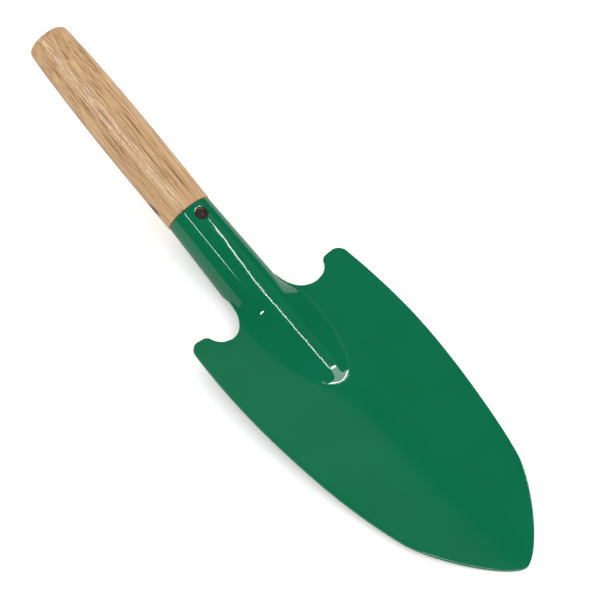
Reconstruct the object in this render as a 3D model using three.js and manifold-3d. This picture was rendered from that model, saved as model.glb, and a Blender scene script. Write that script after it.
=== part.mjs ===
// A hand transplanter (garden trowel): one pressed and painted steel sheet that forms the blade, the
// stiffening rib and the rolled socket, a turned wooden handle whose tenon sits in the socket, and the
// cross rivet that holds the two together. Units are millimetres, +Z is up.
//
// Design frame: X runs from the socket mouth towards the blade tip, Y is sideways and the blade's middle
// lies at z = 0. The finished group is tipped so that the tool rests on its socket and its tip.
import * as THREE from "three";
import { mergeVertices } from "three/addons/utils/BufferGeometryUtils.js";
import Module from "manifold-3d";

const wasm = await Module();
wasm.setup();

// Sheet steel
const SHEET = 1.2;
const SEAM_GAP = 2.0;
const REST_TILT = 2.87;

// Socket: a slightly conical tube that leans back by HANDLE_RISE from the blade
const HANDLE_RISE = 11.5;
const MOUTH_HEIGHT = 8;
const MOUTH_RADIUS = 10.45;
const SOCKET_TAPER = 0.027;
const TUBE_END = 34;
const NECK = 46.7;

// Rib: the socket's crest runs on into the blade, flattens a little and ends in a blunt nose
const CREST_SLOPE = 0.175;
const CREST_EASE = 0.0004;
const RIB_WIDEST = 60;
const RIB_HALF_WIDTH = 18;
const RIB_SHOULDER = 97.5;
const RIB_END = 105.5;
const NECK_HALF_WIDTH = 13.9;
const CROWN_RADIUS = 10;
const NECK_FILLET = 2.8;
const RIB_FILLET = 6;

// Dish: a flat middle band, wings that rise on each side of it, and a tip that lifts a little
const BAND_HALF_WIDTH = 17;
const BAND_START = 70;
const BAND_END = 150;
const WING_SLOPE_BACK = 0.2;
const WING_SLOPE_TIP = 0.06;
const WING_BEND_BACK = 3;
const WING_BEND_TIP = 9;
const TIP_RISE = 1.5;

// Blade outline, as half widths in plan
const BLADE_LENGTH = 219.6;
const EAR_BACK = 52.6;
const EAR_HALF_WIDTH = 44.2;
const EAR_CORNER = 5;
const EAR_INNER_CORNER = 4;
const WIDEST_AT = 92;
const WIDEST = 46;
const SIDE_PULL = 25.8;
const SHOULDER_AT = 178.5;
const SHOULDER_HALF_WIDTH = 34.1;
const SHOULDER_ANGLE = 0.29;
const SHOULDER_PULL = 15.5;
const TIP_PULL = 8;

// Notch between neck and ear, as it is cut in the flat blank
const NOTCH_CENTRE = 49.3;
const NOTCH_SIDE = 27.5;
const NOTCH_RADIUS = 9.8;

// Wooden handle, measured along its own axis from the socket mouth
const HANDLE_LENGTH = 105.3;
const HANDLE_START_RADIUS = 11.4;
const HANDLE_BELLY_RADIUS = 11.75;
const HANDLE_BUTT_RADIUS = 10.2;
const BUTT_ROUNDING = 3;
const MOUTH_CLEARANCE = 0.4;
const TENON_LENGTH = 36;
const TENON_START_RADIUS = 9.4;
const TENON_END_RADIUS = 7.6;

// Cross rivet, through the socket's top hole, the tenon and the seam below
const RIVET_FROM_MOUTH = 5.5;
const HOLE_RADIUS = 3.2;
const RIVET_HEAD_RADIUS = 2.7;
const RIVET_HEAD_HEIGHT = 1.3;
const RIVET_SHANK_RADIUS = 1.6;
const CLEARANCE = 0.3;

// Mesh density
const NECK_COLUMNS = 18;
const EAR_COLUMNS = 3;

const rise = THREE.MathUtils.degToRad(HANDLE_RISE);
const mouthCrest = new THREE.Vector2(
  MOUTH_RADIUS * Math.sin(rise),
  MOUTH_HEIGHT + MOUTH_RADIUS * Math.cos(rise),
);

const { smoothstep, lerp, clamp } = THREE.MathUtils;

function mix(from, to, s, start, end) {
  return lerp(from, to, smoothstep(s, start, end));
}

// Height of the blade's surface with the rib left out.
function dish(s, y) {
  const band = mix(BAND_HALF_WIDTH, 0, s, BAND_START, BAND_END);
  const slope = mix(WING_SLOPE_BACK, WING_SLOPE_TIP, s, 50, 165);
  const bend = mix(WING_BEND_BACK, WING_BEND_TIP, s, 60, 150);
  const wing = (Math.hypot(y - band, bend) + Math.hypot(y + band, bend)) / 2;
  const along = Math.max(0, s - RIB_WIDEST) / (BLADE_LENGTH - RIB_WIDEST);
  return slope * (wing - Math.hypot(band, bend)) + TIP_RISE * along * along;
}

function crestHeight(s) {
  return mouthCrest.y - CREST_SLOPE * (s - mouthCrest.x) + CREST_EASE * Math.max(0, s - NECK) ** 2;
}

function ribHeight(s) {
  const above = Math.max(0, crestHeight(s) - dish(s, 0));
  return above * (1 - smoothstep(s, RIB_SHOULDER, RIB_END));
}

function ribHalfWidth(s) {
  if (s < RIB_WIDEST) return mix(NECK_HALF_WIDTH, RIB_HALF_WIDTH, s, NECK, RIB_WIDEST);
  const along = (s - RIB_WIDEST) / (RIB_END - RIB_WIDEST);
  return RIB_HALF_WIDTH * Math.sqrt(Math.max(0, 1 - along * along));
}

// The cross-section at s: a crown arc, a straight flank and a foot fillet of the opposite hand.
// Behind the neck the rib's section closes up into the socket's tube.
function section(s) {
  const tube = MOUTH_RADIUS + SOCKET_TAPER * (Math.min(s, NECK) - mouthCrest.x);
  const crown = mix(tube, CROWN_RADIUS, s, NECK, RIB_WIDEST);
  const fillet = mix(NECK_FILLET, RIB_FILLET, s, NECK, RIB_WIDEST);
  const h = ribHeight(Math.max(s, NECK));
  const b = ribHalfWidth(Math.max(s, NECK));
  if (h < 1e-4 || b < 1e-3) return { crown, fillet, angle: 0, flank: 0 };
  const arcs = Math.min(crown + fillet, (b * b + h * h) / (2 * h));
  const reach = Math.hypot(arcs - h, b);
  const angle = Math.atan2(b, arcs - h) - Math.acos(clamp(arcs / reach, -1, 1));
  const flank = Math.sqrt(Math.max(0, b * b + h * h - 2 * arcs * h));
  const share = s < NECK ? 1 : arcs / (crown + fillet);
  return {
    crown: crown * share,
    fillet: fillet * share,
    angle: mix(Math.PI, angle, s, TUBE_END, NECK),
    flank: mix(0, flank, s, TUBE_END, NECK),
  };
}

// How far the flat blank is wider than its plan, because of the rib.
function ribExcess(s) {
  const { crown, fillet, angle, flank } = section(s);
  const arcs = crown + fillet;
  return arcs * angle + flank - (arcs * Math.sin(angle) + flank * Math.cos(angle));
}

// Sideways place and depth below the crest for a point q along the section from the crest.
function alongSection(s, q) {
  const { crown, fillet, angle, flank } = section(s);
  const far = Math.abs(q);
  const arc = crown * angle;
  let y;
  let depth;
  if (far <= arc) {
    y = crown * Math.sin(far / crown);
    depth = crown * (1 - Math.cos(far / crown));
  } else {
    const onFlank = Math.min(far - arc, flank);
    y = crown * Math.sin(angle) + onFlank * Math.cos(angle);
    depth = crown * (1 - Math.cos(angle)) + onFlank * Math.sin(angle);
    const rest = far - arc - onFlank;
    const turned = Math.min(rest, fillet * angle);
    if (turned > 0) {
      const left = angle - turned / fillet;
      y += fillet * (Math.sin(angle) - Math.sin(left));
      depth += fillet * (Math.cos(left) - Math.cos(angle));
      y += rest - turned;
    } else {
      y += rest;
    }
  }
  return { y: Math.sign(q) * y, depth };
}

// The sheet's middle surface, as a point of the pressed part for a point (s, q) of the flat blank.
function pressed(s, q) {
  const { y, depth } = alongSection(s, q);
  const lean = mix(rise, 0, s, TUBE_END, RIB_WIDEST);
  const top = s < NECK ? crestHeight(s) : dish(s, 0) + ribHeight(s);
  const lift = mix(0, 1, s, NECK - 6, NECK + 4) * (dish(s, y) - dish(s, 0));
  return new THREE.Vector3(s - depth * Math.sin(lean), y, top - depth * Math.cos(lean) + lift);
}

function formed(s, q, offset) {
  const step = 0.05;
  const middle = pressed(s, q);
  const alongS = pressed(s + step, q).sub(pressed(s - step, q));
  const alongQ = pressed(s, q + step).sub(pressed(s, q - step));
  const normal = alongS.cross(alongQ).normalize();
  return middle.addScaledVector(normal, offset);
}

// Half width of the blank between the socket mouth and the bottom of the notch.
function neckEdge(s) {
  const seam = Math.PI * section(Math.min(s, TUBE_END)).crown - SEAM_GAP / 2;
  const waist = NOTCH_SIDE - NOTCH_RADIUS;
  if (s < NOTCH_CENTRE) return mix(seam, waist, s, TUBE_END - 8, NECK);
  return NOTCH_SIDE - Math.sqrt(Math.max(0, NOTCH_RADIUS ** 2 - (s - NOTCH_CENTRE) ** 2));
}

// The ear's edges in the blank: the inner one bounds the notch, the outer one is the blade's side.
function earInnerEdge(s) {
  const cornerAt = EAR_BACK + EAR_INNER_CORNER;
  const between = NOTCH_RADIUS + EAR_INNER_CORNER;
  const cornerSide = NOTCH_SIDE + Math.sqrt(between ** 2 - (cornerAt - NOTCH_CENTRE) ** 2);
  const meet = NOTCH_CENTRE + ((cornerAt - NOTCH_CENTRE) * NOTCH_RADIUS) / between;
  if (s > meet) return NOTCH_SIDE + Math.sqrt(Math.max(0, NOTCH_RADIUS ** 2 - (s - NOTCH_CENTRE) ** 2));
  return cornerSide - Math.sqrt(Math.max(0, EAR_INNER_CORNER ** 2 - (s - cornerAt) ** 2));
}

function sideHalfWidth(s) {
  const back = EAR_BACK + EAR_CORNER;
  if (s < back) {
    return EAR_HALF_WIDTH - EAR_CORNER + Math.sqrt(Math.max(0, EAR_CORNER ** 2 - (back - s) ** 2));
  }
  const along = (WIDEST_AT - s) / (WIDEST_AT - back);
  return WIDEST - (WIDEST - EAR_HALF_WIDTH) * along * along;
}

function outerEdge(s) {
  return sideHalfWidth(s) + ribExcess(s);
}

// The blade's side from its widest place to the tip, as points (s, half width).
function frontOutline() {
  const lean = new THREE.Vector2(Math.cos(SHOULDER_ANGLE), -Math.sin(SHOULDER_ANGLE));
  const shoulder = new THREE.Vector2(SHOULDER_AT, SHOULDER_HALF_WIDTH);
  const side = new THREE.CubicBezierCurve(
    new THREE.Vector2(WIDEST_AT, WIDEST),
    new THREE.Vector2(WIDEST_AT + SIDE_PULL, WIDEST),
    shoulder.clone().addScaledVector(lean, -SIDE_PULL),
    shoulder,
  );
  const nose = new THREE.CubicBezierCurve(
    shoulder,
    shoulder.clone().addScaledVector(lean, SHOULDER_PULL),
    new THREE.Vector2(BLADE_LENGTH, TIP_PULL),
    new THREE.Vector2(BLADE_LENGTH, 0),
  );
  return [...side.getPoints(12).slice(1), ...nose.getPoints(12).slice(1)];
}

function evenly(from, to, count) {
  return Array.from({ length: count + 1 }, (_, i) => lerp(from, to, i / count));
}

// Rows of blank points (s, q), each row with the same number of columns.
function neckRows() {
  const straight = evenly(mouthCrest.x, NOTCH_CENTRE, 14);
  const round = evenly(0, Math.PI / 2, 6).slice(1);
  const stations = [...straight, ...round.map((a) => NOTCH_CENTRE + NOTCH_RADIUS * Math.sin(a))];
  return stations.map((s) => evenly(-neckEdge(s), neckEdge(s), NECK_COLUMNS).map((q) => [s, q]));
}

function earRows(side) {
  const notchBottom = NOTCH_CENTRE + NOTCH_RADIUS;
  const turns = evenly(0, Math.PI / 2, 7);
  const stations = turns.map((a) => EAR_BACK + (notchBottom - EAR_BACK) * (1 - Math.cos(a)));
  return stations.map((s) => {
    const inner = Math.min(earInnerEdge(s), outerEdge(s) - 0.2);
    const row = evenly(inner, outerEdge(s), EAR_COLUMNS).map((q) => [s, side * q]);
    return side > 0 ? row : row.reverse();
  });
}

function bladeRows() {
  const notchBottom = NOTCH_CENTRE + NOTCH_RADIUS;
  const share = NOTCH_SIDE / outerEdge(notchBottom);
  const back = evenly(notchBottom, WIDEST_AT, 12).map((s) => [s, outerEdge(s)]);
  const front = frontOutline().map((p) => [p.x, p.y + ribExcess(p.x)]);
  return [...back, ...front].map(([s, edge]) => {
    const inner = edge * share;
    const left = evenly(-edge, -inner, EAR_COLUMNS);
    const middle = evenly(-inner, inner, NECK_COLUMNS).slice(1, -1);
    const right = evenly(inner, edge, EAR_COLUMNS);
    return [...left, ...middle, ...right].map((q) => [s, q]);
  });
}

// A closed sheet of even thickness over patches of blank points that share their rows' ends.
function sheetGeometry(patches) {
  const points = [];
  const index = new Map();
  const triangles = [];
  const indexOf = ([s, q]) => {
    const key = `${s.toFixed(3)},${(q + 1000).toFixed(3)}`;
    if (!index.has(key)) {
      index.set(key, points.length);
      points.push([s, q]);
    }
    return index.get(key);
  };
  const addTriangle = (a, b, c) => {
    if (a !== b && b !== c && c !== a) triangles.push([a, b, c]);
  };
  for (const rows of patches) {
    const ids = rows.map((row) => row.map(indexOf));
    for (let i = 0; i + 1 < ids.length; i++) {
      for (let j = 0; j + 1 < ids[i].length; j++) {
        addTriangle(ids[i][j], ids[i + 1][j], ids[i + 1][j + 1]);
        addTriangle(ids[i][j], ids[i + 1][j + 1], ids[i][j + 1]);
      }
    }
  }
  const rim = new Set();
  for (const [a, b, c] of triangles) {
    for (const [from, to] of [[a, b], [b, c], [c, a]]) {
      if (!rim.delete(`${to},${from}`)) rim.add(`${from},${to}`);
    }
  }
  const count = points.length;
  const faces = [];
  for (const [a, b, c] of triangles) {
    faces.push(a, b, c);
    faces.push(count + a, count + c, count + b);
  }
  for (const edge of rim) {
    const [from, to] = edge.split(",").map(Number);
    faces.push(from, count + from, count + to);
    faces.push(from, count + to, to);
  }
  const tops = points.map(([s, q]) => formed(s, q, SHEET / 2));
  const undersides = points.map(([s, q]) => formed(s, q, -SHEET / 2));
  const geometry = new THREE.BufferGeometry().setFromPoints([...tops, ...undersides]);
  geometry.setIndex(faces);
  return geometry;
}

function solidOf(geometry) {
  const bare = geometry.clone();
  bare.deleteAttribute("normal");
  bare.deleteAttribute("uv");
  const merged = mergeVertices(bare, 1e-4);
  return new wasm.Manifold(
    new wasm.Mesh({
      numProp: 3,
      vertProperties: merged.attributes.position.array,
      triVerts: new Uint32Array(merged.index.array),
    }),
  );
}

function geometryOf(solid) {
  const mesh = solid.getMesh();
  const geometry = new THREE.BufferGeometry();
  geometry.setAttribute("position", new THREE.BufferAttribute(mesh.vertProperties, 3));
  geometry.setIndex(new THREE.BufferAttribute(mesh.triVerts, 1));
  geometry.computeVertexNormals();
  return geometry;
}

// A cylinder across the socket at the rivet, from one height to another along the tool's local up.
function acrossRivet(radius, from, to, segments) {
  const rod = new THREE.CylinderGeometry(radius, radius, to - from, segments);
  rod.translate(0, (from + to) / 2, 0);
  rod.rotateX(Math.PI / 2);
  rod.rotateY(rise);
  const inward = new THREE.Vector3(Math.cos(rise), 0, -Math.sin(rise));
  const centre = new THREE.Vector3(0, 0, MOUTH_HEIGHT).addScaledVector(inward, RIVET_FROM_MOUTH);
  rod.translate(centre.x, centre.y, centre.z);
  return rod;
}

function bladeAndSocket() {
  const patches = [neckRows(), earRows(1), earRows(-1), bladeRows()];
  const sheet = solidOf(sheetGeometry(patches));
  const reach = MOUTH_RADIUS * 2;
  const hole = solidOf(acrossRivet(HOLE_RADIUS, -reach, reach, 24));
  const paint = new THREE.MeshStandardMaterial({ color: 0x0f7047, roughness: 0.25, metalness: 0 });
  const mesh = new THREE.Mesh(geometryOf(sheet.subtract(hole)), paint);
  mesh.name = "blade_and_socket";
  return mesh;
}

// The handle's radius at a distance from the mouth, as a smooth spindle that narrows to the butt.
function handleProfile() {
  const spindle = new THREE.SplineCurve([
    new THREE.Vector2(HANDLE_START_RADIUS, MOUTH_CLEARANCE),
    new THREE.Vector2(HANDLE_BELLY_RADIUS, HANDLE_LENGTH / 3),
    new THREE.Vector2(HANDLE_START_RADIUS, HANDLE_LENGTH * 0.7),
    new THREE.Vector2(HANDLE_BUTT_RADIUS, HANDLE_LENGTH - BUTT_ROUNDING),
  ]);
  const rounding = evenly(0, Math.PI / 2, 4).slice(1).map(
    (a) =>
      new THREE.Vector2(
        HANDLE_BUTT_RADIUS - BUTT_ROUNDING * (1 - Math.cos(a)),
        HANDLE_LENGTH - BUTT_ROUNDING * (1 - Math.sin(a)),
      ),
  );
  return [
    new THREE.Vector2(0, -TENON_LENGTH),
    new THREE.Vector2(TENON_END_RADIUS - 1, -TENON_LENGTH),
    new THREE.Vector2(TENON_END_RADIUS, -TENON_LENGTH + 1),
    new THREE.Vector2(TENON_START_RADIUS, MOUTH_CLEARANCE),
    ...spindle.getPoints(10),
    ...rounding,
    new THREE.Vector2(0, HANDLE_LENGTH),
  ];
}

function woodenHandle() {
  const turned = new THREE.LatheGeometry(handleProfile(), 28);
  turned.rotateZ(Math.PI / 2);
  turned.rotateY(rise);
  turned.translate(0, 0, MOUTH_HEIGHT);
  const outside = MOUTH_RADIUS * 2;
  const recess = TENON_START_RADIUS - RIVET_HEAD_HEIGHT;
  const bore = solidOf(acrossRivet(RIVET_SHANK_RADIUS + CLEARANCE, -outside, outside, 16));
  const topSeat = solidOf(acrossRivet(RIVET_HEAD_RADIUS + CLEARANCE, recess, outside, 24));
  const lowSeat = solidOf(acrossRivet(RIVET_HEAD_RADIUS + CLEARANCE, -outside, -recess, 24));
  const solid = solidOf(turned).subtract(bore).subtract(topSeat).subtract(lowSeat);
  const wood = new THREE.MeshStandardMaterial({ color: 0xcda77d, roughness: 0.45, metalness: 0 });
  const mesh = new THREE.Mesh(geometryOf(solid), wood);
  mesh.name = "wooden_handle";
  return mesh;
}

function socketRivet() {
  const seat = TENON_START_RADIUS - RIVET_HEAD_HEIGHT + CLEARANCE;
  const top = seat + RIVET_HEAD_HEIGHT;
  const shank = solidOf(acrossRivet(RIVET_SHANK_RADIUS, -top + 0.2, top - 0.2, 16));
  const head = solidOf(acrossRivet(RIVET_HEAD_RADIUS, seat, top, 24));
  const tail = solidOf(acrossRivet(RIVET_HEAD_RADIUS, -top, -seat, 24));
  const steel = new THREE.MeshStandardMaterial({ color: 0x4b383e, roughness: 0.5, metalness: 0.8 });
  const mesh = new THREE.Mesh(geometryOf(shank.add(head).add(tail)), steel);
  mesh.name = "socket_rivet";
  return mesh;
}

const tool = new THREE.Group();
tool.add(bladeAndSocket(), woodenHandle(), socketRivet());
tool.rotation.y = THREE.MathUtils.degToRad(REST_TILT);

// The origin is the middle of the tool's box, at the level it rests on.
const group = new THREE.Group();
group.add(tool);
const box = new THREE.Box3().setFromObject(group, true);
const middle = box.getCenter(new THREE.Vector3());
tool.position.set(-middle.x, -middle.y, -box.min.z);

export default group;
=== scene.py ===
"""Looks of the hand transplanter: pressed green blade with its socket, turned wooden handle, cross rivet.

The three pieces are built as fine meshes in the tool's own frame, in millimetres: X runs from the socket
mouth to the tip, Y sideways, and the blade's middle is at z = 0. place() turns and moves them into the row
frame, which is in metres.

In the functions that shape the sheet, s is a place along X and q a place across the flat blank.
"""
import math

import bpy
import numpy as np
from mathutils import Matrix, Vector


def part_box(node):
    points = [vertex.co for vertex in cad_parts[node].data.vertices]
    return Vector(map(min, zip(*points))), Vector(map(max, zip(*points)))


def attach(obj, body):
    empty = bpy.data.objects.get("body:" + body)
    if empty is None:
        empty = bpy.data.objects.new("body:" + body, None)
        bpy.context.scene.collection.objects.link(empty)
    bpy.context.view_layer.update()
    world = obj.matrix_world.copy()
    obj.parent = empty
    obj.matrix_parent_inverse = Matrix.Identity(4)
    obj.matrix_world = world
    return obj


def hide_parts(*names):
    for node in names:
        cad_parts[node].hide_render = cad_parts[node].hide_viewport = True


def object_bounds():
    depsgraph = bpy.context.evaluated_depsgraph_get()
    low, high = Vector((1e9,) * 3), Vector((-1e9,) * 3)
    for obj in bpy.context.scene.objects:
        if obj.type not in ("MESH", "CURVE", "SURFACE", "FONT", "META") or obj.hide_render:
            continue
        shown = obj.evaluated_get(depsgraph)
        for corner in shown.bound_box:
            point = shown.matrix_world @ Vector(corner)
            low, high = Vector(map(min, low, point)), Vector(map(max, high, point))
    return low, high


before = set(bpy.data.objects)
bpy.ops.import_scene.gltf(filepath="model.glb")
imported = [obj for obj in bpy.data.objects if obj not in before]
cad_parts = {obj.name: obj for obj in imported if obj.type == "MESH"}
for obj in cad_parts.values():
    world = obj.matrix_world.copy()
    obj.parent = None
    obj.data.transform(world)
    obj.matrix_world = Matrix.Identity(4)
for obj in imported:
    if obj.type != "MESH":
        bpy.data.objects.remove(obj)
cad_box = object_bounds()

# The tool's driving sizes are those of the CAD part, in millimetres and radians.
# Sheet steel
SHEET = 1.2
SEAM_GAP = 2.0
REST_TILT = math.radians(2.87)

# Socket: a slightly conical tube that leans back by RISE from the blade
RISE = math.radians(11.5)
MOUTH_HEIGHT = 8.0
MOUTH_RADIUS = 10.45
SOCKET_TAPER = 0.027
TUBE_END = 34.0
NECK = 46.7
SEAM_OPENS = TUBE_END - 8

# Rib: the socket's crest runs on into the blade, flattens a little and ends in a blunt nose
CREST_SLOPE = 0.175
CREST_EASE = 0.0004
RIB_WIDEST = 60.0
RIB_HALF_WIDTH = 18.0
RIB_SHOULDER = 97.5
RIB_END = 105.5
NECK_HALF_WIDTH = 13.9
CROWN_RADIUS = 10.0
NECK_FILLET = 2.8
RIB_FILLET = 6.0

# Dish: a flat middle band, wings that rise on each side of it, and a tip that lifts a little
DISH_STARTS = NECK - 6
DISH_FULL = NECK + 4
BAND_HALF_WIDTH = 17.0
BAND_START = 70.0
BAND_END = 150.0
WING_SLOPE_BACK = 0.2
WING_SLOPE_TIP = 0.06
WING_SLOPE_SPAN = (50, 165)
WING_BEND_BACK = 3.0
WING_BEND_TIP = 9.0
WING_BEND_SPAN = (60, 150)
TIP_RISE = 1.5

# Blade outline, as half widths in plan
BLADE_LENGTH = 219.6
EAR_BACK = 52.6
EAR_HALF_WIDTH = 44.2
EAR_CORNER = 5.0
EAR_INNER_CORNER = 4.0
WIDEST_AT = 92.0
WIDEST = 46.0
SIDE_PULL = 25.8
SHOULDER_AT = 178.5
SHOULDER_HALF_WIDTH = 34.1
SHOULDER_ANGLE = 0.29
SHOULDER_PULL = 15.5
TIP_PULL = 8.0

# Notch between neck and ear, as it is cut in the flat blank
NOTCH_CENTRE = 49.3
NOTCH_SIDE = 27.5
NOTCH_RADIUS = 9.8
NOTCH_BOTTOM = NOTCH_CENTRE + NOTCH_RADIUS

# Wooden handle, measured along its own axis from the socket mouth
HANDLE_LENGTH = 105.3
HANDLE_START_RADIUS = 11.4
HANDLE_BELLY_RADIUS = 11.75
HANDLE_BUTT_RADIUS = 10.2
BUTT_ROUNDING = 3.0
SHOULDER_ROUNDING = 0.5
MOUTH_CLEARANCE = 0.4
TENON_LENGTH = 36.0
TENON_START_RADIUS = 9.4
TENON_END_RADIUS = 7.6
TENON_CHAMFER = 1.0

# Cross rivet, through the socket's top hole, the tenon and the seam below
RIVET_FROM_MOUTH = 5.5
HOLE_RADIUS = 3.2
RIVET_HEAD_RADIUS = 2.7
RIVET_HEAD_HEIGHT = 1.3
RIVET_SHANK_RADIUS = 1.6
CLEARANCE = 0.3
RIVET_SEAT = TENON_START_RADIUS - RIVET_HEAD_HEIGHT
CUTTER_REACH = 2 * MOUTH_RADIUS

# Where the sheet's middle surface starts: the crest of the socket mouth
CREST_X = MOUTH_RADIUS * math.sin(RISE)
CREST_Z = MOUTH_HEIGHT + MOUTH_RADIUS * math.cos(RISE)

# Mesh density of the sheet, and the width of its softened edges
INNER_COLUMNS = 60
EAR_COLUMNS = 14
NECK_ROWS = 52
ARC_ROWS = 14
EAR_ROWS = 22
BACK_ROWS = 34
SIDE_ROWS = 70
NOSE_ROWS = 44
BEVEL = 0.4

# Mesh density of the turned bodies
HANDLE_RINGS = 110
HANDLE_SEGMENTS = 128
RIVET_SEGMENTS = 48
CUTTER_SEGMENTS = 64

# The lights' distance from the row frame's origin and the floor's half width, in metres
LIGHT_DISTANCE = 1.6
FLOOR_REACH = 6.0


def smooth(s, start, end):
    """Runs softly from 0 at the start to 1 at the end."""
    t = np.clip((s - start) / (end - start), 0, 1)
    return t * t * (3 - 2 * t)


def mix(first, last, s, start, end):
    """Runs softly from the first value at the start to the last value at the end."""
    return first + (last - first) * smooth(s, start, end)


def dish(s, y):
    """Height of the blade's middle surface with the rib left out."""
    band = mix(BAND_HALF_WIDTH, 0, s, BAND_START, BAND_END)
    slope = mix(WING_SLOPE_BACK, WING_SLOPE_TIP, s, *WING_SLOPE_SPAN)
    bend = mix(WING_BEND_BACK, WING_BEND_TIP, s, *WING_BEND_SPAN)
    wing = (np.hypot(y - band, bend) + np.hypot(y + band, bend)) / 2
    along = np.maximum(0, s - RIB_WIDEST) / (BLADE_LENGTH - RIB_WIDEST)
    return slope * (wing - np.hypot(band, bend)) + TIP_RISE * along ** 2


def crest_height(s):
    """Height of the middle surface along the crest of socket and rib."""
    return CREST_Z - CREST_SLOPE * (s - CREST_X) + CREST_EASE * np.maximum(0, s - NECK) ** 2


def rib_height(s):
    above = np.maximum(0, crest_height(s) - dish(s, 0 * s))
    return above * (1 - smooth(s, RIB_SHOULDER, RIB_END))


def rib_half_width(s):
    neck = mix(NECK_HALF_WIDTH, RIB_HALF_WIDTH, s, NECK, RIB_WIDEST)
    along = np.clip((s - RIB_WIDEST) / (RIB_END - RIB_WIDEST), 0, 1)
    return np.where(s < RIB_WIDEST, neck, RIB_HALF_WIDTH * np.sqrt(1 - along ** 2))


def section(s):
    """Crown radius, foot fillet radius, flank angle and flank length of the cross-section at s.

    In the socket the crown is the whole tube. On the blade, crown, flank and fillet make the rib, and the two
    arcs shrink together where the rib is too low for them. Where it has gone, the sheet is flat.
    """
    tube = MOUTH_RADIUS + SOCKET_TAPER * (np.minimum(s, NECK) - CREST_X)
    crown = mix(tube, CROWN_RADIUS, s, NECK, RIB_WIDEST)
    fillet = mix(NECK_FILLET, RIB_FILLET, s, NECK, RIB_WIDEST)
    h = np.maximum(rib_height(np.maximum(s, NECK)), 1e-9)
    b = np.maximum(rib_half_width(np.maximum(s, NECK)), 1e-6)
    arcs = np.minimum(crown + fillet, (b * b + h * h) / (2 * h))
    reach = np.hypot(arcs - h, b)
    angle = np.arctan2(b, arcs - h) - np.arccos(np.clip(arcs / reach, -1, 1))
    flank = np.sqrt(np.maximum(0, b * b + h * h - 2 * arcs * h))
    share = arcs / (crown + fillet)
    gone = (h < 1e-4) | (b < 1e-3)
    share = np.where((s < NECK) | gone, 1, share)
    angle = mix(np.pi, np.where(gone, 0, angle), s, TUBE_END, NECK)
    flank = mix(0, np.where(gone, 0, flank), s, TUBE_END, NECK)
    return crown * share, fillet * share, angle, flank


def rib_excess(s):
    """How far the flat blank is wider than its plan, because of the rib."""
    crown, fillet, angle, flank = section(s)
    arcs = crown + fillet
    return arcs * angle + flank - (arcs * np.sin(angle) + flank * np.cos(angle))


def pressed(s, q):
    """The sheet's middle surface, for points (s, q) of the flat blank.

    Going out from the crest, a point first turns with the crown, then follows the flank and turns back with
    the fillet, and past that it lies on the wing.
    """
    crown, fillet, angle, flank = section(s)
    far = np.abs(q)
    on_arc = np.minimum(far / crown, angle)
    on_flank = np.clip(far - crown * angle, 0, flank)
    past = np.maximum(0, far - crown * angle - flank)
    turned = np.minimum(past, fillet * angle)
    left = angle - turned / fillet
    y = crown * np.sin(on_arc) + on_flank * np.cos(angle)
    y = y + fillet * (np.sin(angle) - np.sin(left)) + past - turned
    depth = crown * (1 - np.cos(on_arc)) + on_flank * np.sin(angle)
    depth = depth + fillet * (np.cos(left) - np.cos(angle))
    y = np.sign(q) * y
    lean = mix(RISE, 0, s, TUBE_END, RIB_WIDEST)
    middle = dish(s, 0 * s)
    top = np.where(s < NECK, crest_height(s), middle + rib_height(s))
    lift = mix(0, 1, s, DISH_STARTS, DISH_FULL) * (dish(s, y) - middle)
    return np.stack([s - depth * np.sin(lean), y, top - depth * np.cos(lean) + lift], axis=-1)


def formed(s, q, offset):
    """The pressed sheet's surface at an offset to one side of its middle."""
    step = 0.05
    along_s = pressed(s + step, q) - pressed(s - step, q)
    along_q = pressed(s, q + step) - pressed(s, q - step)
    normal = np.cross(along_s, along_q)
    normal /= np.linalg.norm(normal, axis=-1, keepdims=True)
    return pressed(s, q) + normal * offset


def neck_edge(s):
    """Half width of the blank from the socket mouth to the bottom of the notch."""
    seam = math.pi * section(np.minimum(s, TUBE_END))[0] - SEAM_GAP / 2
    waist = NOTCH_SIDE - NOTCH_RADIUS
    straight = mix(seam, waist, s, SEAM_OPENS, NECK)
    arc = NOTCH_SIDE - np.sqrt(np.maximum(0, NOTCH_RADIUS ** 2 - (s - NOTCH_CENTRE) ** 2))
    return np.where(s < NOTCH_CENTRE, straight, arc)


def ear_inner_edge(s):
    """The ear's side towards the neck: its rounded corner, then the notch."""
    corner_at = EAR_BACK + EAR_INNER_CORNER
    between = NOTCH_RADIUS + EAR_INNER_CORNER
    corner_side = NOTCH_SIDE + math.sqrt(between ** 2 - (corner_at - NOTCH_CENTRE) ** 2)
    meet = NOTCH_CENTRE + (corner_at - NOTCH_CENTRE) * NOTCH_RADIUS / between
    notch = NOTCH_SIDE + np.sqrt(np.maximum(0, NOTCH_RADIUS ** 2 - (s - NOTCH_CENTRE) ** 2))
    corner = corner_side - np.sqrt(np.maximum(0, EAR_INNER_CORNER ** 2 - (s - corner_at) ** 2))
    return np.where(s > meet, notch, corner)


def outer_edge(s):
    """The blade's outer side from the ear's back corner to its widest place, on the flat blank."""
    back = EAR_BACK + EAR_CORNER
    corner = EAR_HALF_WIDTH - EAR_CORNER + np.sqrt(np.maximum(0, EAR_CORNER ** 2 - (back - s) ** 2))
    along = (WIDEST_AT - s) / (WIDEST_AT - back)
    side = WIDEST - (WIDEST - EAR_HALF_WIDTH) * along ** 2
    return np.where(s < back, corner, side) + rib_excess(s)


def bezier(points, count):
    """Points on a cubic curve, without its start."""
    a, b, c, d = [np.array(p, float) for p in points]
    t = np.linspace(0, 1, count + 1)[1:, None]
    return (1 - t) ** 3 * a + 3 * (1 - t) ** 2 * t * b + 3 * (1 - t) * t * t * c + t ** 3 * d


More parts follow.
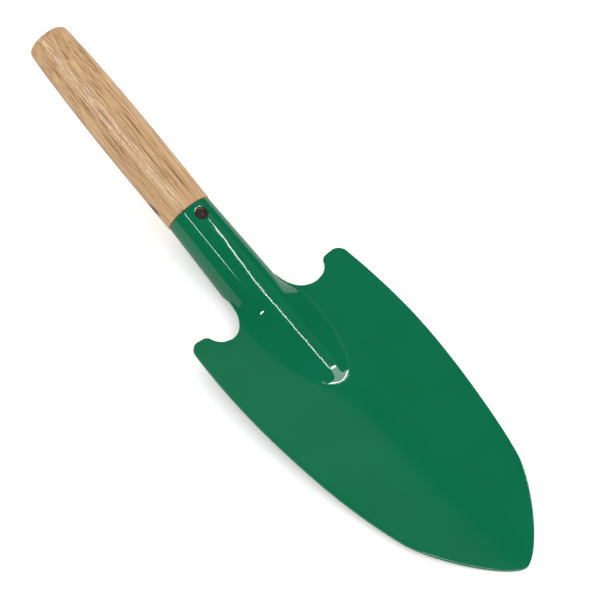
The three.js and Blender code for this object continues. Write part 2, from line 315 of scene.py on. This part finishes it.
def front_outline():
    """The blade's side from its widest place to the tip, as points (s, half width)."""
    lean = np.array([math.cos(SHOULDER_ANGLE), -math.sin(SHOULDER_ANGLE)])
    shoulder = np.array([SHOULDER_AT, SHOULDER_HALF_WIDTH])
    widest = (WIDEST_AT, WIDEST)
    side = [widest, (WIDEST_AT + SIDE_PULL, WIDEST), shoulder - SIDE_PULL * lean, shoulder]
    nose = [shoulder, shoulder + SHOULDER_PULL * lean, (BLADE_LENGTH, TIP_PULL), (BLADE_LENGTH, 0)]
    return np.concatenate([bezier(side, SIDE_ROWS), bezier(nose, NOSE_ROWS)])


def neck_patch():
    """Grid of blank points from the socket mouth to the bottom of the notches."""
    straight = np.linspace(CREST_X, NOTCH_CENTRE, NECK_ROWS)
    arc = np.linspace(0, math.pi / 2, ARC_ROWS)[1:]
    s = np.concatenate([straight, NOTCH_CENTRE + NOTCH_RADIUS * np.sin(arc)])
    across = np.linspace(-1, 1, INNER_COLUMNS + 1)
    return s[:, None] + 0 * across, neck_edge(s)[:, None] * across


def ear_patch(side):
    """Grid of blank points on one ear, down to the bottom of its notch."""
    turn = np.linspace(0, math.pi / 2, EAR_ROWS)
    s = EAR_BACK + (NOTCH_BOTTOM - EAR_BACK) * (1 - np.cos(turn))
    share = np.linspace(0, 1, EAR_COLUMNS + 1)
    inner = ear_inner_edge(s)[:, None]
    q = inner + (outer_edge(s)[:, None] - inner) * share
    if side < 0:
        q = -q[:, ::-1]
    return s[:, None] + 0 * q, q


def blade_patch():
    """Grid of blank points from the bottom of the notches to the tip."""
    share = NOTCH_SIDE / outer_edge(np.array(NOTCH_BOTTOM))
    back = np.linspace(NOTCH_BOTTOM, WIDEST_AT, BACK_ROWS)
    front = front_outline()
    s = np.concatenate([back, front[:, 0]])
    edge = np.concatenate([outer_edge(back), front[:, 1] + rib_excess(front[:, 0])])
    wing = np.linspace(share, 1, EAR_COLUMNS + 1)
    middle = np.linspace(-share, share, INNER_COLUMNS + 1)[1:-1]
    columns = np.concatenate([-wing[::-1], middle, wing])
    return s[:, None] + 0 * columns, edge[:, None] * columns


def sheet_mesh():
    """One closed sheet: both faces of every patch and a wall along the rim.

    Points that patches share are joined, and a cell that shrinks to a line is left out.
    """
    points = []
    index = {}
    cells = []
    for s, q in (neck_patch(), ear_patch(1), ear_patch(-1), blade_patch()):
        ids = np.empty(s.shape, int)
        for place in np.ndindex(s.shape):
            key = (round(float(s[place]), 3), round(float(q[place]), 3) + 0.0)
            if key not in index:
                index[key] = len(points)
                points.append((s[place], q[place]))
            ids[place] = index[key]
        for i in range(s.shape[0] - 1):
            for j in range(s.shape[1] - 1):
                cell = [ids[i, j], ids[i + 1, j], ids[i + 1, j + 1], ids[i, j + 1]]
                cells.append(list(dict.fromkeys(int(c) for c in cell)))
    cells = [c for c in cells if len(c) > 2]
    count = len(points)
    rim = set()
    for cell in cells:
        for a, b in zip(cell, cell[1:] + cell[:1]):
            if (b, a) in rim:
                rim.remove((b, a))
            else:
                rim.add((a, b))
    walls = [[a, count + a, count + b, b] for a, b in sorted(rim)]
    under = [[count + c for c in reversed(cell)] for cell in cells]
    blank = np.array(points)
    top = formed(blank[:, 0], blank[:, 1], SHEET / 2)
    bottom = formed(blank[:, 0], blank[:, 1], -SHEET / 2)
    return np.concatenate([top, bottom]), cells + under + walls


def mesh_object(name, points, faces):
    mesh = bpy.data.meshes.new(name)
    mesh.from_pydata([tuple(p) for p in points], [], faces)
    mesh.validate()
    made = bpy.data.objects.new(name, mesh)
    bpy.context.scene.collection.objects.link(made)
    return made


def turned_mesh(name, profile, segments):
    """A body of revolution about local Z from (radius, height) points that start and end on the axis."""
    angles = np.linspace(0, 2 * math.pi, segments, endpoint=False)
    rings = profile[1:-1]
    points = [(0, 0, profile[0][1])]
    for radius, height in rings:
        points += [(radius * math.cos(a), radius * math.sin(a), height) for a in angles]
    points.append((0, 0, profile[-1][1]))
    faces = []
    for i in range(segments):
        j = (i + 1) % segments
        faces.append([0, 1 + j, 1 + i])
        for k in range(len(rings) - 1):
            low = 1 + k * segments
            high = low + segments
            faces.append([low + i, low + j, high + j, high + i])
        last = 1 + (len(rings) - 1) * segments
        faces.append([last + i, last + j, len(points) - 1])
    return mesh_object(name, points, faces)


def set_on_axis(piece, along):
    """Moves a body turned about Z so that its axis is the handle's, or the rivet's if it isn't along."""
    away = Vector((-math.cos(RISE), 0, math.sin(RISE)))
    up = Vector((math.sin(RISE), 0, math.cos(RISE)))
    direction = away if along else up
    turn = Vector((0, 0, 1)).rotation_difference(direction).to_matrix().to_4x4()
    start = Vector((0, 0, MOUTH_HEIGHT))
    if not along:
        start -= away * RIVET_FROM_MOUTH
    piece.data.transform(Matrix.Translation(start) @ turn)


def cut_across(piece, profile):
    """Cuts a body of revolution about the rivet's axis out of the piece."""
    cutter = turned_mesh("cutter", profile, CUTTER_SEGMENTS)
    set_on_axis(cutter, along=False)
    step = piece.modifiers.new("cut", "BOOLEAN")
    step.operation = "DIFFERENCE"
    step.solver = "EXACT"
    step.object = cutter
    settle(piece)
    bpy.data.objects.remove(cutter, do_unlink=True)


def settle(piece):
    """Applies a piece's modifiers to its mesh."""
    graph = bpy.context.evaluated_depsgraph_get()
    result = bpy.data.meshes.new_from_object(piece.evaluated_get(graph))
    piece.modifiers.clear()
    piece.data = result


def round_edges(piece, width):
    """Rounds the piece's sharp edges, those that turn by more than 50 degrees."""
    step = piece.modifiers.new("round edges", "BEVEL")
    step.width = width
    step.segments = 3
    step.limit_method = "ANGLE"
    step.angle_limit = math.radians(50)
    step.use_clamp_overlap = True
    settle(piece)


def place(piece):
    """Moves a piece from the tool's millimetre frame into the row frame and shades it smooth."""
    turn = Matrix.Rotation(REST_TILT, 4, "Y")
    scale = Matrix.Scale(0.001, 4)
    piece.data.transform(Matrix.Translation(offset) @ turn @ scale)
    piece.data.polygons.foreach_set("use_smooth", [True] * len(piece.data.polygons))


def frame_offset():
    """Where the tool's own origin lies in the row frame, from the tip and the top of the CAD sheet's box."""
    patches = (blade_patch(), neck_patch())
    points = np.concatenate([formed(s.ravel(), q.ravel(), SHEET / 2) for s, q in patches]) / 1000
    x = points[:, 0] * math.cos(REST_TILT) + points[:, 2] * math.sin(REST_TILT)
    z = points[:, 2] * math.cos(REST_TILT) - points[:, 0] * math.sin(REST_TILT)
    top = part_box("blade_and_socket")[1]
    return Vector((top[0] - x.max(), 0, top[2] - z.max()))


def tool_to_row(vector):
    """A direction or a distance of the tool's frame, turned into the row frame."""
    return Matrix.Rotation(REST_TILT, 3, "Y") @ Vector(vector)


offset = frame_offset()


# Materials ------------------------------------------------------------------------------------------------

def new_material(name):
    """A node material with its nodes, its links and its main shader."""
    material = bpy.data.materials.new(name)
    material.use_nodes = True
    nodes = material.node_tree.nodes
    return material, nodes, material.node_tree.links, nodes["Principled BSDF"]


def noise(nodes, links, vector, scale, detail, distortion=0.0, roughness=0.5):
    made = nodes.new("ShaderNodeTexNoise")
    made.inputs["Scale"].default_value = scale
    made.inputs["Detail"].default_value = detail
    made.inputs["Roughness"].default_value = roughness
    made.inputs["Distortion"].default_value = distortion
    links.new(vector, made.inputs["Vector"])
    return made.outputs["Fac"]


def ramp(nodes, links, value, stops):
    """Colour by value, from stops of (position, colour)."""
    made = nodes.new("ShaderNodeValToRGB")
    while len(made.color_ramp.elements) < len(stops):
        made.color_ramp.elements.new(0.5)
    for element, (position, color) in zip(made.color_ramp.elements, stops):
        element.position = position
        element.color = (*color, 1)
    links.new(value, made.inputs["Fac"])
    return made.outputs["Color"]


def grey(value):
    return (value, value, value)


def bump(nodes, links, height, strength, distance, after=None):
    made = nodes.new("ShaderNodeBump")
    made.inputs["Strength"].default_value = strength
    made.inputs["Distance"].default_value = distance
    links.new(height, made.inputs["Height"])
    if after is not None:
        links.new(after, made.inputs["Normal"])
    return made.outputs["Normal"]


def multiplied(nodes, links, color, tone, factor):
    """The colour darkened by the tone, as strongly as the factor says."""
    made = nodes.new("ShaderNodeMix")
    made.data_type = "RGBA"
    made.blend_type = "MULTIPLY"
    made.inputs["Factor"].default_value = factor
    links.new(color, made.inputs["A"])
    links.new(tone, made.inputs["B"])
    return made.outputs["Result"]


def green_paint():
    """Glossy dipped paint, cloudy in tone, with a fine peel over long shallow waves."""
    material, nodes, links, skin = new_material("green_paint")
    place_at = nodes.new("ShaderNodeTexCoord").outputs["Object"]
    cloud = noise(nodes, links, place_at, 35, 4)
    color = ramp(nodes, links, cloud, [(0.3, (0.0024, 0.121, 0.051)), (0.7, (0.0030, 0.133, 0.059))])
    links.new(color, skin.inputs["Base Color"])
    patchy = noise(nodes, links, place_at, 90, 5)
    gloss = ramp(nodes, links, patchy, [(0.35, grey(0.035)), (0.7, grey(0.06))])
    links.new(gloss, skin.inputs["Roughness"])
    peel = noise(nodes, links, place_at, 900, 2)
    waves = noise(nodes, links, place_at, 120, 1)
    fine = bump(nodes, links, peel, 0.03, 0.0001)
    coarse = bump(nodes, links, waves, 0.10, 0.0002, fine)
    links.new(coarse, skin.inputs["Normal"])
    skin.inputs["IOR"].default_value = 1.5
    return material


def add_knot(nodes, links, place_at, wood):
    """Darkens the wood at a small knot on the handle's side, a little behind the socket."""
    centre = tool_to_row((-0.0111, -0.0113, 0.0088)) + offset
    reach = (0.0055, 0.0040, 0.0024)
    away = nodes.new("ShaderNodeVectorMath")
    away.operation = "SUBTRACT"
    links.new(place_at, away.inputs[0])
    away.inputs[1].default_value = centre
    shape = nodes.new("ShaderNodeMapping")
    shape.inputs["Scale"].default_value = [1 / r for r in reach]
    links.new(away.outputs["Vector"], shape.inputs["Vector"])
    distance = nodes.new("ShaderNodeVectorMath")
    distance.operation = "LENGTH"
    links.new(shape.outputs["Vector"], distance.inputs[0])
    depth = ramp(nodes, links, distance.outputs["Value"], [(0.4, (0.10, 0.08, 0.07)), (1.0, (1, 1, 1))])
    return multiplied(nodes, links, wood, depth, 1.0)


def along_the_grain(nodes, links, place_at):
    """Coordinates turned to the handle's axis and drawn out along it."""
    turn = nodes.new("ShaderNodeMapping")
    turn.vector_type = "POINT"
    turn.inputs["Rotation"].default_value = (0, -(RISE + REST_TILT), 0)
    links.new(place_at, turn.inputs["Vector"])
    stretch = nodes.new("ShaderNodeMapping")
    stretch.inputs["Scale"].default_value = (0.018, 1, 1)
    links.new(turn.outputs["Vector"], stretch.inputs["Vector"])
    return stretch.outputs["Vector"]


def pale_wood():
    """Bare open-grained wood: broad bands of tone, fine dark pores, faint veins and one knot."""
    material, nodes, links, skin = new_material("pale_wood")
    place_at = nodes.new("ShaderNodeTexCoord").outputs["Object"]
    grain_at = along_the_grain(nodes, links, place_at)
    broad = noise(nodes, links, grain_at, 210, 3, 0.3)
    color = ramp(nodes, links, broad, [
        (0.25, (0.47, 0.280, 0.132)),
        (0.5, (0.57, 0.362, 0.181)),
        (0.75, (0.64, 0.433, 0.238)),
    ])
    lines = noise(nodes, links, grain_at, 2500, 3, 0.1, 0.6)
    pores = ramp(nodes, links, lines, [(0.41, (0.42, 0.30, 0.22)), (0.49, grey(1))])
    rings = noise(nodes, links, grain_at, 420, 2, 0.3)
    veins = ramp(nodes, links, rings, [
        (0.41, grey(1)),
        (0.43, (0.62, 0.50, 0.40)),
        (0.45, grey(1)),
        (0.54, grey(1)),
        (0.555, (0.70, 0.58, 0.48)),
        (0.57, grey(1)),
    ])
    porous = multiplied(nodes, links, color, pores, 0.9)
    veined = multiplied(nodes, links, porous, veins, 0.4)
    knotted = add_knot(nodes, links, place_at, veined)
    links.new(knotted, skin.inputs["Base Color"])
    sheen = ramp(nodes, links, lines, [(0.40, grey(0.40)), (0.55, grey(0.22))])
    links.new(sheen, skin.inputs["Roughness"])
    relief = bump(nodes, links, lines, 0.6, 0.0003)
    links.new(relief, skin.inputs["Normal"])
    return material


def dark_steel():
    """Bare steel that has gone dark and a little rusty."""
    material, nodes, links, skin = new_material("dark_steel")
    place_at = nodes.new("ShaderNodeTexCoord").outputs["Object"]
    rust = noise(nodes, links, place_at, 700, 5)
    color = ramp(nodes, links, rust, [(0.35, (0.05, 0.028, 0.032)), (0.65, (0.14, 0.085, 0.095))])
    links.new(color, skin.inputs["Base Color"])
    skin.inputs["Metallic"].default_value = 0.6
    skin.inputs["Roughness"].default_value = 0.55
    relief = bump(nodes, links, rust, 0.5, 0.0002)
    links.new(relief, skin.inputs["Normal"])
    return material


def pale_floor():
    """A white floor that glows a little for the camera only, and is darker in mirror-like reflections.

    It is clear from below, so that the tool's underside can be seen through it.
    """
    material, nodes, links, skin = new_material("pale_floor")
    skin.inputs["Roughness"].default_value = 0.9
    skin.inputs["Specular IOR Level"].default_value = 0.0
    path = nodes.new("ShaderNodeLightPath")
    tone = ramp(nodes, links, path.outputs["Is Glossy Ray"], [(0, grey(0.95)), (1, grey(0.6))])
    links.new(tone, skin.inputs["Base Color"])
    skin.inputs["Emission Color"].default_value = (1, 1, 1, 1)
    glow = nodes.new("ShaderNodeMath")
    glow.operation = "MULTIPLY"
    links.new(path.outputs["Is Camera Ray"], glow.inputs[0])
    glow.inputs[1].default_value = 0.22
    links.new(glow.outputs["Value"], skin.inputs["Emission Strength"])
    side = nodes.new("ShaderNodeNewGeometry")
    clear = nodes.new("ShaderNodeBsdfTransparent")
    either = nodes.new("ShaderNodeMixShader")
    links.new(side.outputs["Backfacing"], either.inputs["Fac"])
    links.new(skin.outputs["BSDF"], either.inputs[1])
    links.new(clear.outputs["BSDF"], either.inputs[2])
    links.new(either.outputs["Shader"], nodes["Material Output"].inputs["Surface"])
    return material


# Pieces ---------------------------------------------------------------------------------------------------

def show(piece, material, stands_for):
    """Moves a finished piece into the row frame, gives it its material, hangs it under the root body and
    hides the CAD part that it stands for.
    """
    place(piece)
    piece.data.materials.clear()
    piece.data.materials.append(material)
    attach(piece, "root")
    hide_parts(stands_for)


def blade_and_socket():
    points, faces = sheet_mesh()
    piece = mesh_object("green_blade", points, faces)
    reach = CUTTER_REACH
    cut_across(piece, [(0, -reach), (HOLE_RADIUS, -reach), (HOLE_RADIUS, reach), (0, reach)])
    round_edges(piece, BEVEL)
    show(piece, green_paint(), "blade_and_socket")
    return piece


def spindle():
    """The handle's side, as (radius, height) on a cubic through four points, up to its rounded butt."""
    knots = np.array([
        (MOUTH_CLEARANCE, HANDLE_START_RADIUS),
        (HANDLE_LENGTH / 3, HANDLE_BELLY_RADIUS),
        (HANDLE_LENGTH * 0.7, HANDLE_START_RADIUS),
        (HANDLE_LENGTH - BUTT_ROUNDING, HANDLE_BUTT_RADIUS),
    ])
    curve = np.polynomial.Polynomial.fit(knots[:, 0], knots[:, 1], 3)
    heights = np.linspace(knots[0, 0], knots[-1, 0], HANDLE_RINGS)
    return [(float(curve(h)), float(h)) for h in heights]


def handle_profile():
    """The turned handle from the tenon's end to the butt, as (radius, height) points."""
    tenon = [
        (0, -TENON_LENGTH),
        (TENON_END_RADIUS - TENON_CHAMFER, -TENON_LENGTH),
        (TENON_END_RADIUS, TENON_CHAMFER - TENON_LENGTH),
        (TENON_START_RADIUS, MOUTH_CLEARANCE),
    ]
    side = spindle()
    first, start = side[0]
    shoulder = [
        (first - SHOULDER_ROUNDING, start),
        (first - 0.3 * SHOULDER_ROUNDING, start + 0.3 * SHOULDER_ROUNDING),
        (first, start + SHOULDER_ROUNDING),
    ]
    last = side[-1][0]
    rim = [
        (last - BUTT_ROUNDING * (1 - math.cos(a)), HANDLE_LENGTH - BUTT_ROUNDING * (1 - math.sin(a)))
        for a in np.linspace(0, math.pi / 2, 10)[1:]
    ]
    return tenon + shoulder + side[1:] + rim + [(0, HANDLE_LENGTH)]


def wooden_handle():
    piece = turned_mesh("turned_handle", handle_profile(), HANDLE_SEGMENTS)
    set_on_axis(piece, along=True)
    head = RIVET_HEAD_RADIUS + CLEARANCE
    shank = RIVET_SHANK_RADIUS + CLEARANCE
    bore = [(0, -CUTTER_REACH), (head, -CUTTER_REACH), (head, -RIVET_SEAT), (shank, -RIVET_SEAT)]
    bore += [(radius, -height) for radius, height in reversed(bore)]
    cut_across(piece, bore)
    show(piece, pale_wood(), "wooden_handle")
    return piece


def socket_rivet():
    """A shank with a low peened dome at each end."""
    seat = RIVET_SEAT + CLEARANCE
    top = seat + RIVET_HEAD_HEIGHT
    r = RIVET_HEAD_RADIUS
    upper = [
        (RIVET_SHANK_RADIUS, seat),
        (r, seat),
        (r, top - 0.55),
        (r - 0.12, top - 0.25),
        (r - 0.5, top - 0.08),
        (r - 1.2, top),
        (0, top),
    ]
    lower = [(radius, -height) for radius, height in reversed(upper)]
    piece = turned_mesh("peened_rivet", lower + upper, RIVET_SEGMENTS)
    set_on_axis(piece, along=False)
    show(piece, dark_steel(), "socket_rivet")


# Floor, light and camera ----------------------------------------------------------------------------------

def make_floor():
    reach = FLOOR_REACH
    low = min(c[2] for c in cad_box)
    corners = [(-reach, -reach, low), (reach, -reach, low), (reach, reach, low), (-reach, reach, low)]
    floor = mesh_object("floor", corners, [[0, 1, 2, 3]])
    floor.data.materials.append(pale_floor())


def area_light(name, direction, size, size_y, radiance, lie=(1, 0, 0), mirrored=True):
    """A rectangular light that faces the tool from a direction given in the tool's frame.

    Its first size lies along lie, its second one across it. It is seen in mirror-like reflections only, or
    lights only the surfaces and the floor.
    """
    data = bpy.data.lights.new(name, "AREA")
    data.shape = "RECTANGLE"
    data.size = size
    data.size_y = size_y
    data.energy = radiance * math.pi * size * size_y
    light = bpy.data.objects.new(name, data)
    away = tool_to_row(direction).normalized()
    light.location = away * LIGHT_DISTANCE
    across_it = away.cross(tool_to_row(lie)).normalized()
    turn = Matrix((across_it.cross(away), across_it, away)).transposed()
    light.matrix_world = Matrix.Translation(light.location) @ turn.to_4x4()
    light.visible_diffuse = not mirrored
    light.visible_glossy = mirrored
    bpy.context.scene.collection.objects.link(light)
    return light


def round_panel(nodes, links, direction, toward, inner, outer, value):
    """Brightness of a round panel of the room that fades between two angles (degrees) from its middle."""
    dot = nodes.new("ShaderNodeVectorMath")
    dot.operation = "DOT_PRODUCT"
    links.new(direction, dot.inputs[0])
    dot.inputs[1].default_value = tool_to_row(toward).normalized()
    fade = nodes.new("ShaderNodeMapRange")
    fade.interpolation_type = "SMOOTHSTEP"
    fade.inputs["From Min"].default_value = math.cos(math.radians(outer))
    fade.inputs["From Max"].default_value = math.cos(math.radians(inner))
    fade.inputs["To Min"].default_value = 0
    fade.inputs["To Max"].default_value = value
    links.new(dot.outputs["Value"], fade.inputs["Value"])
    return fade.outputs["Result"]


def make_world():
    """An even white room, dark in mirror-like reflections but for two soft panels."""
    world = bpy.data.worlds.new("studio")
    bpy.context.scene.world = world
    world.use_nodes = True
    nodes = world.node_tree.nodes
    links = world.node_tree.links
    shade = nodes["Background"]
    direction = nodes.new("ShaderNodeTexCoord").outputs["Generated"]
    high = round_panel(nodes, links, direction, (-0.31, 0.66, 0.68), 10.5, 16.5, 0.20)
    low = round_panel(nodes, links, direction, (-0.35, 0.15, 0.92), 9, 15, 0.05)
    panels = nodes.new("ShaderNodeMath")
    links.new(high, panels.inputs[0])
    links.new(low, panels.inputs[1])
    room = nodes.new("ShaderNodeMath")
    links.new(panels.outputs["Value"], room.inputs[0])
    room.inputs[1].default_value = 0.015
    path = nodes.new("ShaderNodeLightPath")
    pick = nodes.new("ShaderNodeMix")
    pick.inputs["A"].default_value = 1.25
    links.new(path.outputs["Is Glossy Ray"], pick.inputs["Factor"])
    links.new(room.outputs["Value"], pick.inputs["B"])
    shade.inputs["Color"].default_value = (1, 1, 1, 1)
    links.new(pick.outputs["Result"], shade.inputs["Strength"])


def light_only(light, piece):
    """Lets a light reach one piece only."""
    lit = bpy.data.collections.new(light.name + " reaches")
    lit.objects.link(piece)
    light.light_linking.receiver_collection = lit


def make_lights(blade, handle):
    """Narrow lights that draw the bright lines on paint and wood, and one soft light for everything else."""
    area_light("long_tube", (-0.077, 0.278, 0.957), 0.014, 0.84, 30, (1, 0.2, 0))
    area_light("socket_light", (-0.151, -0.621, 0.769), 0.11, 0.04, 30)
    light_only(area_light("nose_rim_light", (0.045, 0.413, 0.910), 0.19, 0.85, 26), blade)
    light_only(area_light("nose_glow", (0.340, 0.413, 0.844), 0.75, 0.96, 4.5), blade)
    light_only(area_light("handle_light", (-0.227, -0.615, 0.756), 0.26, 0.06, 200), handle)
    area_light("key", (-0.1, 0.6, 0.79), 1.4, 1.4, 0.25, mirrored=False)


def make_camera():
    """A long lens, with its place and turn given in the tool's frame, in metres."""
    away = tool_to_row((0.34765, -0.41866, 0.83897))
    up = tool_to_row((-0.66718, 0.51824, 0.53507))
    start = tool_to_row((0.43084, -0.43190, 0.89170)) + offset
    data = bpy.data.cameras.new("camera")
    data.sensor_width = 36
    data.lens = 144
    camera = bpy.data.objects.new("camera", data)
    side = up.cross(away).normalized()
    turn = Matrix((side, away.cross(side).normalized(), away.normalized())).transposed()
    camera.matrix_world = Matrix.Translation(start) @ turn.to_4x4()
    bpy.context.scene.collection.objects.link(camera)
    bpy.context.scene.camera = camera


blade = blade_and_socket()
handle = wooden_handle()
socket_rivet()
make_floor()
make_world()
make_lights(blade, handle)
make_camera()
bpy.context.scene.view_settings.view_transform = "Standard"
